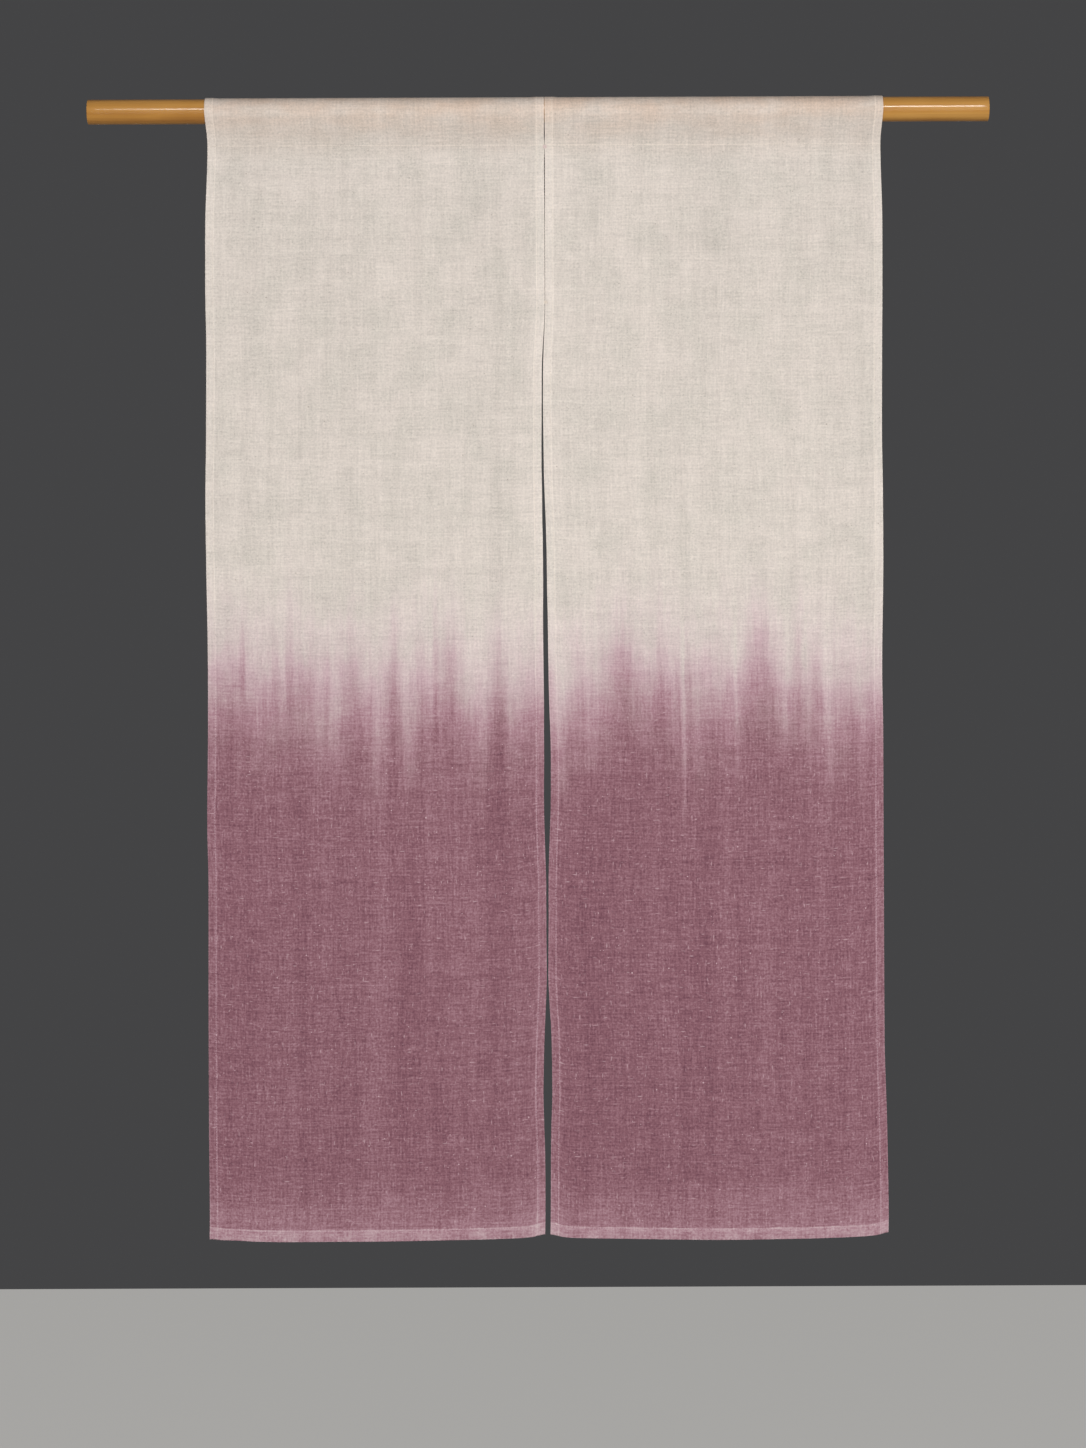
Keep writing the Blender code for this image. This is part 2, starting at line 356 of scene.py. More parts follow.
panelShape = {
    "leftPlumb": 0.1525,
    "rightPlumb": 1.0310,
    "thickness": 0.42 * mm,
    "layer": 0.46 * mm,  # from one layer of a hem to the next
    "sideHem": 11.0 * mm,
    "hemBlend": 7.0 * mm,  # from a side hem to the cloth beside it
    "bottomHem": 14.5 * mm,
    "turnIn": 8.5 * mm,  # raw edge inside a side hem
    "clearOfRod": 0.12 * mm,
    "frontDepth": 1.2 * mm,  # of the hanging face in front of the rod's axis
    "settle": 0.55,  # how far plain cloth sinks between the hems on the rod, of a hem's thickness
    "backRoom": 3.4,  # layers of room for the hems where the pocket's back meets the front
    "stitchDrop": 45 * mm,
    "flapDrop": 48.5 * mm,
    "wrapEnd": math.radians(33),
    # unevenness in depth: of the hanging cloth, along the side hems and under the pocket's stitches
    "billow": 0.55 * mm,
    "pucker": 0.30 * mm,
    "ruffle": 0.22 * mm,
    "columns": 152,
    "rows": 160,
}

# outer edges, millimetres outwards from plumb: drop, left panel, right panel
outerEdges = (
    (-20, 0.0, 1.2), (0, 0.0, 1.2), (45, -2.6, -1.2), (150, 0.7, 1.0), (230, 1.0, 0.8), (310, -0.1, 0.1),
    (420, 0.4, -0.5), (500, 1.6, 0.5), (580, 1.0, 0.6), (730, -0.9, -1.4), (810, -0.6, -0.3),
    (925, 0.8, -0.4), (1005, -0.5, -0.3), (1200, 0.1, -0.5), (1320, 0.0, 2.4), (1435, -0.6, 3.9),
    (1480, 0.0, 3.4),
)
# slit edges, millimetres to the right of the seam: drop, left panel, right panel
slitEdges = (
    (-20, -0.2, 0.2), (240, -0.2, 0.2), (270, -0.7, -0.3), (287, -1.6, -1.0), (305, -2.8, -1.85),
    (335, -4.35, -2.85), (380, -4.7, -3.15), (420, -5.0, -2.85), (443, -5.2, -2.6), (470, -5.05, -2.25),
    (500, -4.6, -1.4), (530, -4.5, -0.25), (555, -3.95, 0.4), (580, -3.8, 0.95), (620, -3.65, 1.3),
    (655, -4.0, 1.95), (700, -3.75, 2.4), (735, -3.45, 2.8), (772, -3.15, 3.55), (810, -3.3, 4.7),
    (840, -3.2, 5.3), (890, -3.7, 5.1), (968, -2.1, 2.6), (1007, -1.1, 1.7), (1060, -1.1, 1.5),
    (1124, -0.85, 0.95), (1163, -2.2, 2.5), (1202, -3.9, 4.75), (1241, -5.1, 5.4), (1280, -5.7, 5.6),
    (1319, -4.9, 4.2), (1358, -3.8, 3.5), (1400, -3.6, 3.2), (1436, -3.8, 2.9), (1480, -4.4, 2.2),
)
# how far apart the sewn edges stand, millimetres: drop, gap
seamGap = (
    (-20, 0.4), (8, 0.6), (34, 1.0), (44, 0.15), (51, 0.15), (60, 1.0), (105, 0.85), (140, 0.4),
    (200, 0.35), (240, 0.3), (254, 0.3), (270, 0.4),
)
# bottom edge, millimetres of drop: part of the width from the outer edge, left panel, right panel
bottomEdges = (
    (0.00, 1465.5, 1459.5), (0.03, 1466.5, 1462.8), (0.08, 1467.4, 1465.2), (0.14, 1469.4, 1466.8),
    (0.24, 1470.3, 1468.3), (0.42, 1469.7, 1468.9), (0.62, 1468.7, 1468.3), (0.80, 1468.0, 1467.4),
    (0.91, 1466.2, 1466.3), (0.96, 1464.2, 1464.6), (1.00, 1460.8, 1461.2),
)
# soft waves: part of the width from the outer edge, half width, starts at drop, full at drop, rise
waves = {
    "left": ((0.02, 42, 120, 520, 3.2), (0.27, 80, 260, 1100, -2.6), (0.55, 75, 380, 1300, 2.8),
             (0.80, 60, 520, 1250, -2.2), (1.00, 38, 620, 900, 3.6)),
    "right": ((0.00, 46, 900, 1380, 4.4), (0.26, 70, 460, 1350, -2.8), (0.53, 85, 340, 1250, 3.0),
              (0.80, 64, 300, 1150, -2.4), (1.00, 36, 640, 880, 2.4)),
}
# the dye climbed the cloth twice, first higher and then fuller: drop of each front and its reach
dyeFronts = {"first": (733, 27), "second": (792, 33), "haloStart": 565, "haloEnd": 740, "halo": 0.055}
# streaks in the front, millimetres: across from the panel's left edge, half width, how much higher the
# dye climbed
dyeStreaks = {
    "left": (
        (27, 28, 22), (46, 3, 34), (107, 5, 36), (193, 9, 26), (244, 6, 40), (299, 4, 52), (320, 11, 40),
        (381, 5, 30), (146, 8, -26), (166, 7, -34), (221, 7, -36), (264, 8, -50), (294, 4, -16),
        (356, 13, -46), (400, 9, -22),
    ),
    "right": (
        (95, 17, 44), (145, 8, 18), (277, 18, 58), (330, 4, 34), (16, 8, -48), (54, 12, -26),
        (177, 2.6, -80), (197, 6, -18), (247, 3, -38), (312, 6, -14), (371, 9, -56), (398, 20, -8),
        (414, 14, -20),
    ),
}
dyeScatter = ((12, 6), (50, 8))  # knots this many millimetres apart move the front by about this much


def hemProfile(width, turnIn, layer):
    # a hem folded twice, from its raw edge to its outer fold: how far inwards from the edge, and how
    # far behind the face. runs are straight, folds are half circles of half a layer and one layer
    fold = np.linspace(0, math.pi, 6)
    small, large = layer / 2, layer
    raw = np.linspace(width - turnIn, width - small, 3)
    run = np.linspace(width - small, large, 6)[1:-1]
    innerFold, outerFold = width - small + small * np.sin(fold), large - large * np.sin(fold)
    inwards = np.concatenate((raw[:-1], innerFold, run, outerFold))
    behind = np.concatenate((
        np.full(len(raw) - 1, layer), layer * 1.5 - small * np.cos(fold),
        np.full(len(run), 2 * layer), layer + large * np.cos(fold),
    ))
    return inwards, behind


def pathLengths(first, second):
    # length along a path from its start, by straight steps
    return np.concatenate(((0.0,), np.cumsum(np.hypot(np.diff(first), np.diff(second)))))


def pocketPath(radius, frontY, backY):
    # middle of the pocket's cloth in the YZ plane: up from the back layer's loose end, round the rod
    # as an arc, and down the front. below the rod each side is a cubic that ends upright
    shape = panelShape
    leave, foot = shape["wrapEnd"], -shape["stitchDrop"]
    arc = np.linspace(-leave, math.pi + leave, 45)

    def ease(side, footY):
        start = np.array((side * radius * math.cos(leave), -radius * math.sin(leave)))
        end = np.array((footY, foot))
        reach = np.linalg.norm(end - start)
        away = np.array((-side * math.sin(leave), -math.cos(leave))) * reach
        down = np.array((0.0, -reach))
        t = np.linspace(0, 1, 14)[1:, None]
        lead = (2 * t**3 - 3 * t**2 + 1) * start + (t**3 - 2 * t**2 + t) * away
        return lead + (3 * t**2 - 2 * t**3) * end + (t**3 - t**2) * down

    loose = np.array(((backY, -shape["flapDrop"]), (backY, (foot - shape["flapDrop"]) / 2)))
    over = np.column_stack((radius * np.cos(arc), radius * np.sin(arc)))
    return np.vstack((loose, ease(1, backY)[::-1], over, ease(-1, frontY)))


def softNoise(seed, across, drop, shortest, longest, count):
    # gentle unevenness: a sum of plane waves with random directions, lengths and phases
    rng = np.random.default_rng(seed)
    length = np.exp(rng.uniform(math.log(shortest), math.log(longest), count))
    angle = rng.uniform(0, math.pi, count)
    phase = rng.uniform(0, 2 * math.pi, count)
    total = np.zeros(np.broadcast(across, drop).shape)
    for size, way, start in zip(length, angle, phase):
        along = across * math.cos(way) + drop * math.sin(way)
        total += size / longest * np.sin(2 * math.pi / size * along + start)
    return total / math.sqrt(count)


def makeSheet(side, seed):
    # every point of a panel's cloth as arrays of rows and columns. a column runs along the length, from
    # the pocket's loose end over the rod to the bottom hem's end. a row runs across, from hem to hem
    shape = panelShape
    column = 1 if side == "left" else 2
    layer, half = shape["layer"], shape["thickness"] / 2
    nominal = seamX - shape["leftPlumb"]

    # across: both side hems as folded profiles, plain face between them
    inwards, behind = hemProfile(shape["sideHem"], shape["turnIn"], layer)
    face = np.linspace(0, nominal, shape["columns"])[1:-1]
    place = np.concatenate((inwards, face, nominal - inwards[::-1]))
    stack = np.concatenate((behind, np.zeros(len(face)), behind[::-1]))
    clothU = pathLengths(place, stack)
    part = place / nominal
    fromOuter = part if side == "left" else 1 - part
    fromEdge = np.minimum(place, nominal - place)
    hemmed = 1 - smoothStep(shape["sideHem"], shape["sideHem"] + shape["hemBlend"], fromEdge)

    # down: pocket, hanging face, then the bottom hem's fold and its back
    frontY = half + 0.05 * mm - shape["frontDepth"]
    radius = rodRadius + shape["clearOfRod"] + 2 * layer + half
    pocket = pocketPath(radius, frontY, frontY + 2 * layer)
    step = unit(np.gradient(pocket, axis=0))
    inner = np.column_stack((-step[:, 1], step[:, 0]))  # towards the rod
    hugging = smoothStep(-0.014, -0.002, pocket[:, 1])  # 1 where the cloth lies on the rod
    share = np.linspace(0, 1, shape["rows"])[1:]
    turn = np.linspace(0, math.pi, 7)[1:]
    # the bottom hem's back: how far up from the fold, and how far off the layer before it
    rise = np.array((0.25, 0.5, 0.75, 0.93, 0.985, 1.0, 0.975)) * shape["bottomHem"]
    lift = np.array((1.0, 1.0, 1.0, 0.95, 0.7, 0.35, 0.06)) * layer
    nPocket, nFace, nTurn, nBack = len(pocket), len(share), len(turn), len(rise)

    settle = (1 - hemmed) * 2 * layer * shape["settle"]
    inset = stack[None, :] + settle[None, :] * hugging[:, None]
    pocketY = pocket[:, :1] + inset * inner[:, :1]
    pocketZ = pocket[:, 1:] + inset * inner[:, 1:]
    # the back layer needs room for both hem stacks where it meets the front
    isBack = (np.arange(nPocket) < nPocket / 2)[:, None]
    meeting = isBack * (1 - smoothStep(-0.040, -0.012, pocket[:, 1:]))
    pocketY = pocketY + meeting * hemmed[None, :] * shape["backRoom"] * layer

    bottom = follow(bottomEdges, column, fromOuter) * mm
    thick = 2 * layer * hemmed
    foldDrop = bottom - half - (layer + thick)
    faceDrop = shape["stitchDrop"] + share[:, None] * (foldDrop - shape["stitchDrop"])[None, :]
    roll = (layer + thick - stack)[None, :]
    turnDrop = foldDrop + roll * np.sin(turn)[:, None]
    turnY = (layer + thick)[None, :] - roll * np.cos(turn)[:, None]
    backDrop = foldDrop - rise[:, None] + np.zeros_like(turnDrop[:1])
    backY = (layer + 2 * thick - stack)[None, :] + lift[:, None]
    backY[0] = (2 * (layer + thick) - stack)

    drop = np.vstack((-pocketZ, faceDrop, turnDrop, backDrop))
    faceY = np.broadcast_to(stack, faceDrop.shape)
    depth = np.vstack((pocketY, faceY + frontY, turnY + frontY, backY + frontY))

    # waves and small unevenness of the hanging cloth, none at the stitch line
    hang = np.maximum(drop, 0)
    hangMm, acrossMm = hang / mm, place[None, :] / mm
    for centre, halfWidth, starts, full, high in waves[side]:
        crest = np.exp(-(((fromOuter - centre) * nominal / (halfWidth * mm)) ** 2))
        depth -= high * mm * crest[None, :] * smoothStep(starts * mm, full * mm, hang)
    loose = smoothStep(shape["stitchDrop"], 160 * mm, hang)
    depth += softNoise(seed, acrossMm, hangMm, 45, 190, 34) * shape["billow"] * loose
    besideHem = np.exp(-((fromEdge - shape["sideHem"]) / shape["hemBlend"]) ** 2)[None, :]
    depth += softNoise(seed + 1, acrossMm * 0.2, hangMm, 22, 44, 22) * shape["pucker"] * besideHem * loose
    nearStitch = np.exp(-((hang - shape["stitchDrop"]) / (9 * mm)) ** 2) * (hang > shape["stitchDrop"] * 0.6)
    depth += softNoise(seed + 2, acrossMm + 0 * hang, hangMm * 0.1, 16, 40, 24) * shape["ruffle"] * nearStitch

    outer = follow(outerEdges, column, drop / mm) * mm
    seamShare = (0.2 - follow(seamGap, 1, drop / mm) / 2) * mm
    slit = seamX + follow(slitEdges, column, drop / mm) * mm
    if side == "left":
        low, high = shape["leftPlumb"] - outer + half, slit + seamShare - half
    else:
        low, high = slit - seamShare + half, shape["rightPlumb"] + outer - half
    x = low + (high - low) * part[None, :]
    points = np.stack((x, depth, -drop), axis=-1)

    middle = len(place) // 2
    clothV = pathLengths(points[:, middle, 1], points[:, middle, 2])
    rowKind = np.repeat(("pocket", "face", "turn", "back"), (nPocket, nFace, nTurn, nBack))
    colKind = np.repeat(("hem", "face", "hem"), (len(inwards), len(face), len(inwards)))
    return {
        "side": side, "points": points, "drop": drop, "place": place, "nominal": nominal,
        "fromEdge": fromEdge, "clothU": clothU, "clothV": clothV, "rowKind": rowKind, "colKind": colKind,
    }


def dyeAmount(side, across, drop):
    # how much dye the cloth holds: the mean of two S curves of the drop, each about a front that streaks
    # and noise move up and down. a streak that climbed shows more in the first, one that didn't in the
    # second
    rng = np.random.default_rng(11 if side == "left" else 12)
    total = np.zeros(np.broadcast(across, drop).shape)
    for name, upShare, downShare in (("first", 0.9, 0.5), ("second", 0.55, 0.9)):
        middle, reach = dyeFronts[name]
        front = np.full(across.shape, float(middle))
        for centre, halfWidth, climb in dyeStreaks[side]:
            share = upShare if climb > 0 else downShare
            front -= share * climb * np.exp(-np.abs((across / mm - centre) / halfWidth) ** 2.6)
        for spacing, size in dyeScatter:
            knots = np.arange(-20, 480 + spacing, spacing)
            front += np.interp(across / mm, knots, rng.normal(0, size, len(knots)))
        total += 0.5 / (1 + np.exp(-(drop / mm - front) / reach))
    halo = dyeFronts["halo"] * smoothStep(dyeFronts["haloStart"], dyeFronts["haloEnd"], drop / mm)
    return np.clip(total + halo * (1 - total), 0, 1)


def setAttribute(mesh, name, values):
    # one value for each point, for the materials to read
    mesh.attributes.new(name, "FLOAT", "POINT").data.foreach_set("value", values.astype(np.float32).ravel())


def makePanel(side, material, seed):
    # a sheet as a piece: its mesh, its map of the cut cloth, what its material reads, its thickness
    sheet = makeSheet(side, seed)
    rows, columns = sheet["drop"].shape
    obj = meshObject("cloth_" + side, sheet["points"], asLists(gridFaces(rows, columns)[:, ::-1]), material)
    mesh = obj.data

    # cloth map: metres along and across the cut cloth, so the weave follows every fold
    u = sheet["clothU"] - sheet["clothU"].mean() + (0.35 if side == "left" else 1.05)
    v = 2.0 - sheet["clothV"]
    mapped = np.stack(np.broadcast_arrays(u[None, :], v[:, None]), axis=-1).reshape(-1, 2)
    corner = np.empty(len(mesh.loops), dtype=np.int32)
    mesh.loops.foreach_get("vertex_index", corner)
    mesh.uv_layers.new(name="cloth").data.foreach_set("uv", mapped[corner].astype(np.float32).ravel())

    across = np.broadcast_to(sheet["place"], sheet["drop"].shape)
    dye = dyeAmount(side, across, sheet["drop"])
    setAttribute(mesh, "dye", dye)
    # metres in from the nearer side edge, up from the bottom fold and down from the pocket's stitches
    last = sheet["drop"][sheet["rowKind"] == "face"][-1]
    setAttribute(mesh, "fromEdge", np.broadcast_to(sheet["fromEdge"], dye.shape))
    setAttribute(mesh, "fromFold", last[None, :] - sheet["drop"])
    setAttribute(mesh, "fromStitch", sheet["drop"] - panelShape["stitchDrop"])

    solid = obj.modifiers.new("thickness", "SOLIDIFY")
    solid.thickness = panelShape["thickness"]
    solid.offset = 0.0
    solid.use_even_offset = False
    sheet["object"] = obj
    sheet["dye"] = dye
    return sheet


stitching = {
    "pitch": 3.4 * mm,
    "length": 2.7 * mm,
    "width": 0.55 * mm,
    "height": 0.42 * mm,
    "proud": 0.02 * mm,  # clear of the cloth
    "hemLine": 9.6 * mm,  # from the edge of a side hem
    "bottomLine": 12.8 * mm,
    "rings": (-0.84, -0.32, 0.32, 0.84),  # places of a stitch's rings, -1 and 1 at its ends
    "sides": 6,
}


def surfaceNormals(points):
    # of a grid: the cross product of its steps down and across
    return unit(np.cross(np.gradient(points, axis=0), np.gradient(points, axis=1)))


def layStitches(path, normals, dye, pitch, length, width, height):
    # stitches laid along a path on the cloth. each is a closed bead: an ellipse whose size falls to
    # nothing at both ends as the root of one minus the fourth power of the place along it
    along = np.concatenate(((0.0,), np.cumsum(np.linalg.norm(np.diff(path, axis=0), axis=1))))
    centre = np.arange(pitch / 2, along[-1] - pitch / 2, pitch)

    def read(values, at):
        return np.stack([np.interp(at, along, values[:, axis]) for axis in range(values.shape[1])], axis=-1)

    places = read(path, centre)
    tangent = unit(read(path, centre + pitch / 4) - read(path, centre - pitch / 4))
    normal = unit(read(normals, centre))
    sideways = np.cross(tangent, normal)
    t, sides = np.array(stitching["rings"]), stitching["sides"]
    girth = np.sqrt(1 - t**4)[:, None]
    turn = np.linspace(0, 2 * math.pi, sides, endpoint=False)
    wide, high = girth * np.cos(turn) * width / 2, girth * np.sin(turn) * height / 2
    forward = (t * length / 2)[None, :, None, None] * tangent[:, None, None, :]
    outward = (wide[None, :, :, None] * sideways[:, None, None, :]
               + high[None, :, :, None] * normal[:, None, None, :])
    rings = places[:, None, None, :] + forward + outward
    ends = places[:, None, :] + np.array((-0.5, 0.5))[None, :, None] * length * tangent[:, None, :]
    points = np.concatenate((rings.reshape(len(centre), -1, 3), ends), axis=1)

    size = points.shape[1]
    around = np.arange(sides)
    onward = (around + 1) % sides
    last = size - 2 - sides  # first point of the last ring
    startFan = np.column_stack((np.full(sides, size - 2), onward, around))
    endFan = np.column_stack((np.full(sides, size - 1), around + last, onward + last))
    shift = (np.arange(len(centre)) * size)[:, None, None]
    faces = asLists(*((part[None] + shift).reshape(-1, part.shape[1])
                      for part in (gridFaces(len(t), sides, wrap=True), startFan, endFan)))
    tone = np.repeat(np.interp(centre, along, dye), size)
    return points.reshape(-1, 3), faces, tone


def joinBeads(name, lines, material):
    # one piece of all the lines' beads
    points, faces, tones = [], [], []
    for beadPoints, beadFaces, tone in lines:
        start = sum(map(len, points))
        points.append(beadPoints)
        faces += [[corner + start for corner in face] for face in beadFaces]
        tones.append(tone)
    obj = meshObject(name, np.vstack(points), faces, material)
    setAttribute(obj.data, "dye", np.concatenate(tones))
    return obj


def readGrid(values, index, axis):
    # values of a grid at a fractional row (axis 0) or column (axis 1)
    low = int(math.floor(index))
    mix = index - low
    first, second = np.take(values, low, axis), np.take(values, low + 1, axis)
    return first * (1 - mix) + second * mix


def panelStitches(sheet, material):
    # every line of stitches on one panel, each along one line of the sheet's grid
    points, dye = sheet["points"], sheet["dye"]
    normals = surfaceNormals(points)
    lift = panelShape["thickness"] / 2 + stitching["proud"]
    rows, columns = dye.shape
    kinds, place, drop = sheet["rowKind"], sheet["place"], sheet["drop"]
    faceColumns = np.flatnonzero(sheet["colKind"] == "face")
    size = {key: stitching[key] for key in ("pitch", "length", "width", "height")}
    lines = []

    def lay(index, axis, span):
        normal = readGrid(normals, index, axis)[span]
        path = readGrid(points, index, axis)[span] + normal * lift
        lines.append(layStitches(path, normal, readGrid(dye, index, axis)[span], **size))

    # side hems, on the face all the way round the pocket, and on the hem's own back below it
    faceRows = np.flatnonzero(kinds == "face")
    pocketRows = np.flatnonzero(kinds == "pocket")
    downTo = int(faceRows[-1]) - 1
    for inFromLeft in (stitching["hemLine"], sheet["nominal"] - stitching["hemLine"]):
        lay(float(np.interp(inFromLeft, place[faceColumns], faceColumns)), 1, slice(2, downTo))
    backRun = np.arange(8, int(faceColumns[0]) - 6)
    behindLeft = float(np.interp(-stitching["hemLine"], -place[backRun], backRun))
    for index in (behindLeft, columns - 1 - behindLeft):
        lay(index, 1, slice(int(faceRows[0]) + 2, downTo))

    # bottom hem, front and back
    middle = columns // 2
    fold = drop[faceRows[-1], middle]
    wholeFace = slice(int(faceColumns[0]), int(faceColumns[-1]) + 1)
    lay(float(np.interp(fold - stitching["bottomLine"], drop[faceRows, middle], faceRows)), 0, wholeFace)
    backRows = np.flatnonzero(kinds == "back")[:4]
    lay(float(np.interp(stitching["bottomLine"], fold - drop[backRows, middle], backRows)), 0, wholeFace)

    # the line under the pocket, front and back
    lay(float(pocketRows[-1]), 0, wholeFace)
    backLayer = pocketRows[:8]
    lay(float(np.interp(-panelShape["stitchDrop"], -drop[backLayer, middle], backLayer)), 0, wholeFace)
    return joinBeads("stitches_" + sheet["side"], lines, material)


# what joins the panels, millimetres: short threads across the seam behind it, and two tacks of packed
# threads in front and behind. a tack is its first drop, threads, place right of the seam, dye
joining = {
    "drops": np.arange(56, 250, 4.0),
    "reach": 3.6 * mm,
    "width": 0.36 * mm,
    "lean": 0.7 * mm,
    "tacks": ((45.0, 11, 0.6, 0.28), (247.5, 9, 1.2, 0.0)),
    "tackPitch": 0.42,
    "tackReach": 5.2 * mm,
    "tackWidth": 0.44 * mm,
    "proud": 0.08 * mm,
}


def tiePanels(leftSheet, rightSheet, material):
    # threads from edge to edge, each one bead centred between the two edges at its drop
    rows = np.flatnonzero(leftSheet["rowKind"] == "face")
    rows = np.insert(rows, 0, rows[0] - 1)  # from the pocket's stitches down
    leftEdge = int(np.flatnonzero(leftSheet["colKind"] == "face")[-1])
    rightEdge = int(np.flatnonzero(rightSheet["colKind"] == "face")[0])
    lines = []

    def edgePoint(sheet, edge, drop):
        drops, points = sheet["drop"][rows, edge], sheet["points"][rows, edge]
        return np.array([np.interp(drop, drops, points[:, axis]) for axis in range(3)])

    def across(drop, reach, behind, width, lean, aside=0.0, tone=0.0):
        middle = (edgePoint(leftSheet, leftEdge, drop) + edgePoint(rightSheet, rightEdge, drop)) / 2
        middle = middle + np.array((aside, 0.0, 0.0))
        normal = np.array((0.0, 1.0 if behind else -1.0, 0.0))
        depth = (2 * panelShape["layer"] if behind else 0) + panelShape["thickness"] / 2 + joining["proud"]
        half = np.array((reach / 2, 0.0, lean))
        path = np.stack((middle - half, middle, middle + half)) + normal * depth
        size = np.linalg.norm(half) * 2
        pitch = size * 0.97  # leaves room for one
        lines.append(layStitches(path, np.tile(normal, (3, 1)), np.full(3, tone), pitch, size, width, width))

    for drop in joining["drops"]:
        across(drop * mm, joining["reach"], True, joining["width"], joining["lean"])
    for start, count, aside, tone in joining["tacks"]:
        for drop in start + np.arange(count) * joining["tackPitch"]:
            across(drop * mm, joining["tackReach"], False, joining["tackWidth"], 0.0, aside * mm, tone)
            across(drop * mm, joining["tackReach"], True, joining["tackWidth"], 0.0)
    return joinBeads("seam_ties", lines, material)


rodFinish = {
    "ease": 0.6 * mm,  # rounding of the two end edges
    "sides": 128,
    "uneven": 0.06 * mm,
    "wood": (
        (0.0, fromDisplay(163, 109, 48)),
        (0.5, fromDisplay(192, 137, 64)),
        (1.0, fromDisplay(205, 152, 78)),
    ),
    "pore": fromDisplay(116, 74, 34),
    "endGrain": fromDisplay(168, 124, 74),
}


def makeRod(material):
    # a turned pole: circles whose radius follows a profile along X, a quarter round at both ends, closed by
    # a disc at each end
    length = rodHigh.x - rodLow.x
    ease = rodFinish["ease"]
    turn = np.linspace(0, math.pi / 2, 5)
    start = np.column_stack((ease - ease * np.cos(turn), rodRadius - ease + ease * np.sin(turn)))
    body = np.column_stack((np.linspace(ease, length - ease, 90)[1:-1], np.full(88, rodRadius)))
    discs = np.linspace(0.02, 1, 6)[:-1] * (rodRadius - ease)
    cap = np.column_stack((np.zeros(5), discs))
    profile = np.vstack((cap, start, body, np.column_stack((length - start[::-1, 0], start[::-1, 1])),
                         np.column_stack((np.full(5, length), discs[::-1]))))
    around = np.linspace(0, 2 * math.pi, rodFinish["sides"], endpoint=False)
    along = profile[:, :1]
    waves = np.sin(along * 23 + 2 * np.cos(around)) * np.cos(around * 2 + along * 5)
    swell = 1 - rodFinish["uneven"] / rodRadius * (0.5 + 0.5 * waves)
    radius = profile[:, 1:] * swell
    points = np.stack((np.broadcast_to(along + rodLow.x, radius.shape),
                       -radius * np.cos(around), radius * np.sin(around)), axis=-1)
    rows, columns = radius.shape
    flat = np.vstack((points.reshape(-1, 3), ((rodLow.x, 0, 0), (rodHigh.x, 0, 0))))
    quads = gridFaces(rows, columns, wrap=True)
    ring = np.arange(columns)
    first = np.column_stack((np.full(columns, rows * columns), (ring + 1) % columns, ring))
    last = np.column_stack((np.full(columns, rows * columns + 1), ring + (rows - 1) * columns,
                            (ring + 1) % columns + (rows - 1) * columns))
    obj = meshObject("pole", flat, asLists(quads, first, last), material)
    obj.data.set_sharp_from_angle(angle=math.radians(50))
    return obj


def makeWood():
    # varnished softwood: long soft figure and fine fibres along the pole, thin dark pores between them
    material, tree = freshTree("varnishedPole")
    place = addNode(tree, "TexCoord").outputs["Object"]
    figure = stretchedNoise(tree, place, (2.2, 70, 70), 3.0, 0.55)
    fibre = stretchedNoise(tree, place, (9, 900, 900), 2.0)
    mottle = stretchedNoise(tree, place, (14, 30, 30), 2.0)
    tone = math2(tree, "ADD", figure, remap(tree, mottle, 0.3, 0.7, -0.06, 0.06))
    base = ramp(tree, remap(tree, tone, 0.28, 0.72, 0.0, 1.0), rodFinish["wood"])
    pore = remap(tree, fibre, 0.58, 0.75, 0.0, 0.28)
    colour = addNode(tree, "MixRGB", {0: pore, 1: base, 2: rodFinish["pore"]}).outputs[0]

    # the cut ends show rings instead of long grain
    split = addNode(tree, "SeparateXYZ", {0: addNode(tree, "NewGeometry").outputs["Normal"]})
    endFace = remap(tree, math2(tree, "ABSOLUTE", split.outputs[0]), 0.75, 0.95, 0.0, 1.0)
    offCentre = {"Vector": place, "Scale": (0.001, 1, 1), "Location": (0, 0.021, 0.013)}
    centred = addNode(tree, "Mapping", offCentre).outputs[0]
    ringWave = {"Vector": centred, "Scale": 130.0, "Distortion": 1.4, "Detail": 2.0, "Detail Scale": 90.0}
    rings = addNode(tree, "TexWave", ringWave, wave_type="RINGS", rings_direction="X")
    endWood = addNode(tree, "MixRGB", {0: remap(tree, rings.outputs[1], 0, 1, 0.0, 0.45),
                                       1: rodFinish["endGrain"], 2: rodFinish["pore"]}).outputs[0]
    finished = addNode(tree, "MixRGB", {0: endFace, 1: colour, 2: endWood}).outputs[0]
    bump = addNode(tree, "Bump", {"Height": fibre, "Strength": 0.12, "Distance": 0.08 * mm})
    surface = addNode(tree, "BsdfPrincipled", {
        "Base Color": finished,
        "Roughness": remap(tree, mottle, 0.3, 0.7, 0.38, 0.50),
        "Specular IOR Level": 0.3,
        "Coat Weight": 1.0,
        "Coat Roughness": 0.16,
        "Coat IOR": 1.92,
        "Normal": bump.outputs[0],
    })
    addNode(tree, "OutputMaterial", {"Surface": surface.outputs[0]})
    return material


linenMaterial, threadMaterial = makeLinen(), makeThread()
leftSheet = makePanel("left", linenMaterial, 3)
rightSheet = makePanel("right", linenMaterial, 7)
print("panels:", leftSheet["drop"].shape, "points each")

pole = makeRod(makeWood())
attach(pole, "root")
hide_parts("rod")
print("pole made")

ties = tiePanels(leftSheet, rightSheet, threadMaterial)
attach(ties, "root")
for sheet in (leftSheet, rightSheet):
    side, cloth = sheet["side"], sheet["object"]
    stitches = panelStitches(sheet, threadMaterial)
    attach(cloth, "root")
    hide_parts("panel_" + side)
    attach(stitches, "root")


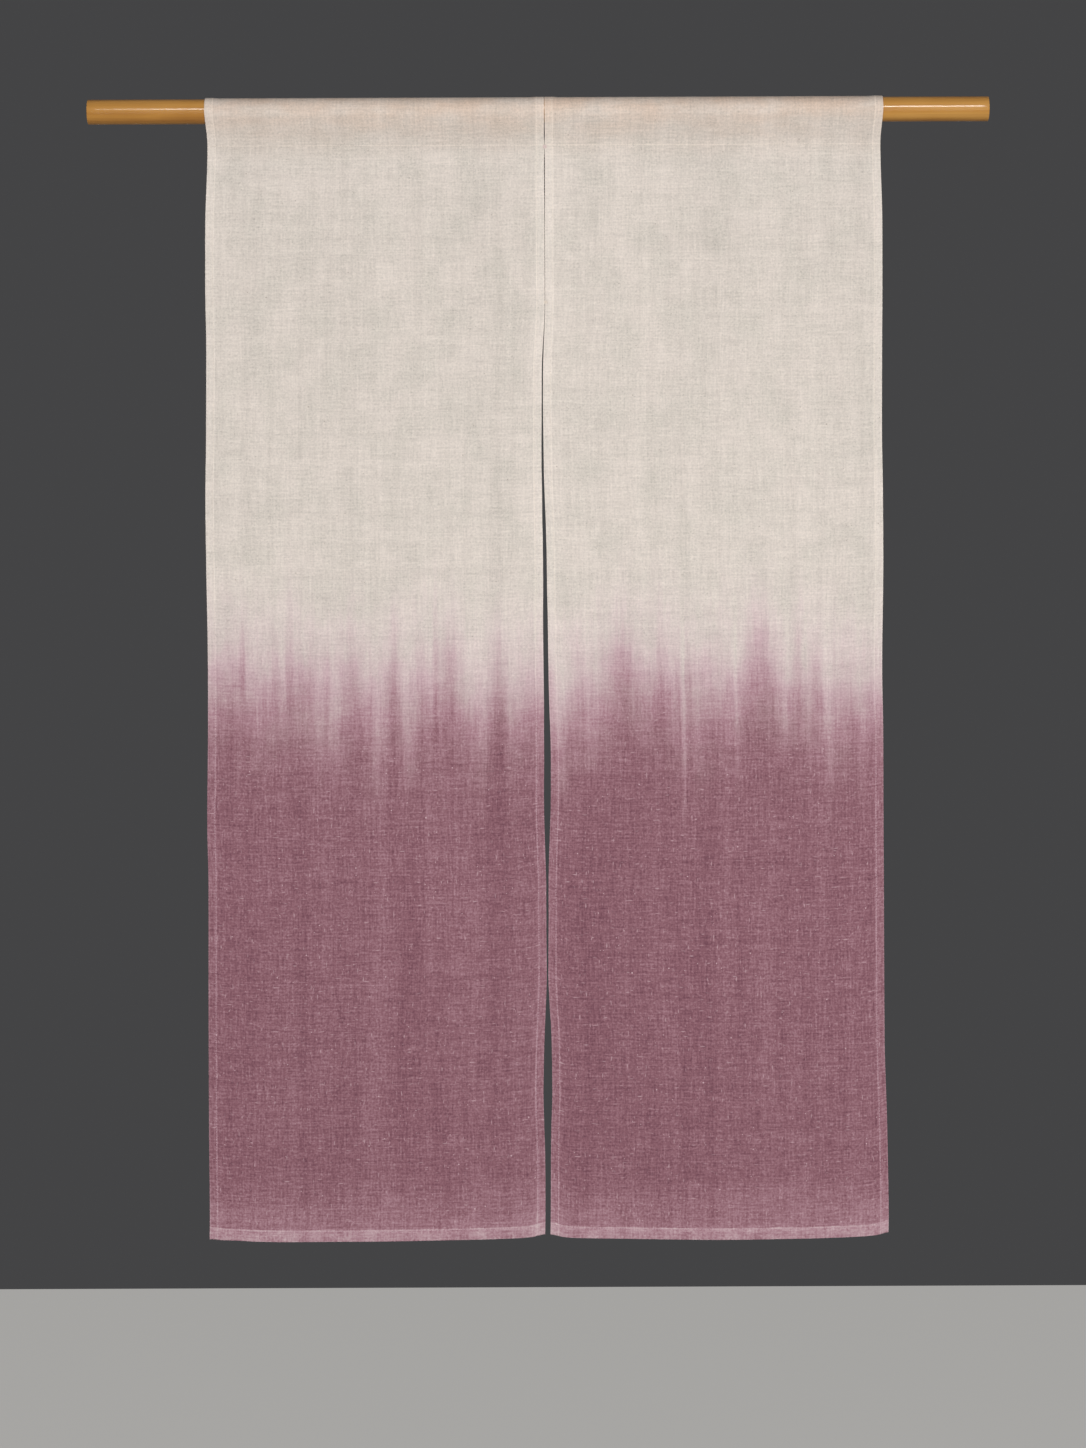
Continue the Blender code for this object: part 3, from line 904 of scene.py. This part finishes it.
studio = {
    "floorDrop": 2.75,
    "floorSize": 14.0,
    "floorColour": (0.62, 0.61, 0.59, 1.0),
    "floorAnswer": 0.28,  # how much of the lamps' light the floor gives back, the rest is its own even glow
    "floorGlow": 0.58,
    "backColour": (0.058, 0.058, 0.060, 1.0),
    # name, place, aimed at, size, power, colour, seen in gloss
    "lamps": (
        ("front", (0.90, -3.7, -0.95), (0.59, 0.0, -0.85), (3.2, 2.2), 136, (1.0, 0.985, 0.985), False),
        ("strip", (0.80, -3.4, 0.89), (0.59, 0.0, -0.40), (2.3, 0.32), 27, (1.0, 0.985, 0.96), True),
        ("behind", (0.60, 3.8, -0.50), (0.59, 0.0, -0.70), (3.6, 2.8), 160, (1.0, 0.99, 0.985), False),
        ("leftFill", (-3.4, 0.9, -0.4), (0.59, 0.0, -0.60), (2.0, 2.0), 36, (1.0, 0.99, 0.985), False),
        ("rightFill", (4.6, 0.9, -0.4), (0.59, 0.0, -0.60), (2.0, 2.0), 36, (1.0, 0.99, 0.985), False),
        ("topFill", (0.59, 1.3, 2.6), (0.59, 0.0, -0.20), (2.0, 1.2), 12, (1.0, 0.99, 0.985), False),
    ),
}
view = {
    "distance": 4.2,
    "centreX": 0.5884,
    "centreZ": -0.7976,
    "shownHeight": 1.8824,  # of the curtain's plane, from the frame's bottom to its top
    "roll": 0.00384,
    "sensor": 36.0,
}


def makeFloor():
    # one pale square that glows by itself, so it stays even, and answers the lamps a little
    material, tree = freshTree("paleFloor")
    place = addNode(tree, "TexCoord").outputs["Object"]
    grain = stretchedNoise(tree, place, (6, 6, 6), 3.0)
    shade = remap(tree, grain, 0.3, 0.7, 0.985, 1.015)
    answer = math2(tree, "MULTIPLY", shade, studio["floorAnswer"])
    shaded = {0: studio["floorColour"][:3], "Scale": answer}
    colour = addNode(tree, "VectorMath", shaded, operation="SCALE").outputs[0]
    surface = addNode(tree, "BsdfPrincipled", {
        "Base Color": colour, "Roughness": 0.9, "Specular IOR Level": 0.1,
        "Emission Color": studio["floorColour"], "Emission Strength": studio["floorGlow"]})
    addNode(tree, "OutputMaterial", {"Surface": surface.outputs[0]})
    half = studio["floorSize"] / 2
    corners = np.array([(x, y, -studio["floorDrop"]) for y in (-half, half) for x in (-half, half)])
    return meshObject("floor", corners, asLists(gridFaces(2, 2)), material)


def aim(obj, place, target):
    # tilt from the height and the flat reach of the way back, turn from its heading
    obj.location = place
    away = np.array(place) - np.array(target)
    flatReach = math.hypot(away[0], away[1])
    obj.rotation_euler = (math.atan2(flatReach, away[2]), 0, math.atan2(away[0], -away[1]))


floor = makeFloor()
floor.visible_glossy = floor.visible_diffuse = False  # no bounce, so the pole keeps its dark underside
world = bpy.data.worlds.new("studio")
bpy.context.scene.world = world
world.use_nodes = True
world.node_tree.nodes["Background"].inputs["Color"].default_value = studio["backColour"]
world.node_tree.nodes["Background"].inputs["Strength"].default_value = 1.0

for name, place, target, size, power, colour, inGloss in studio["lamps"]:
    lamp = bpy.data.lights.new(name, "AREA")
    lamp.shape = "RECTANGLE"
    lamp.size, lamp.size_y = size
    lamp.energy = power
    lamp.color = colour
    lampObject = bpy.data.objects.new(name, lamp)
    lampObject.visible_camera = False
    lampObject.visible_glossy = inGloss
    bpy.context.scene.collection.objects.link(lampObject)
    aim(lampObject, place, target)

camera = bpy.data.objects.new("camera", bpy.data.cameras.new("camera"))
bpy.context.scene.collection.objects.link(camera)
camera.data.sensor_width = view["sensor"]
camera.data.lens = view["sensor"] * view["distance"] / view["shownHeight"]
camera.location = (view["centreX"], -view["distance"], view["centreZ"])
camera.rotation_euler = (math.pi / 2, view["roll"], 0)
bpy.context.scene.camera = camera
bpy.context.scene.view_settings.view_transform = "Standard"
print("studio ready")
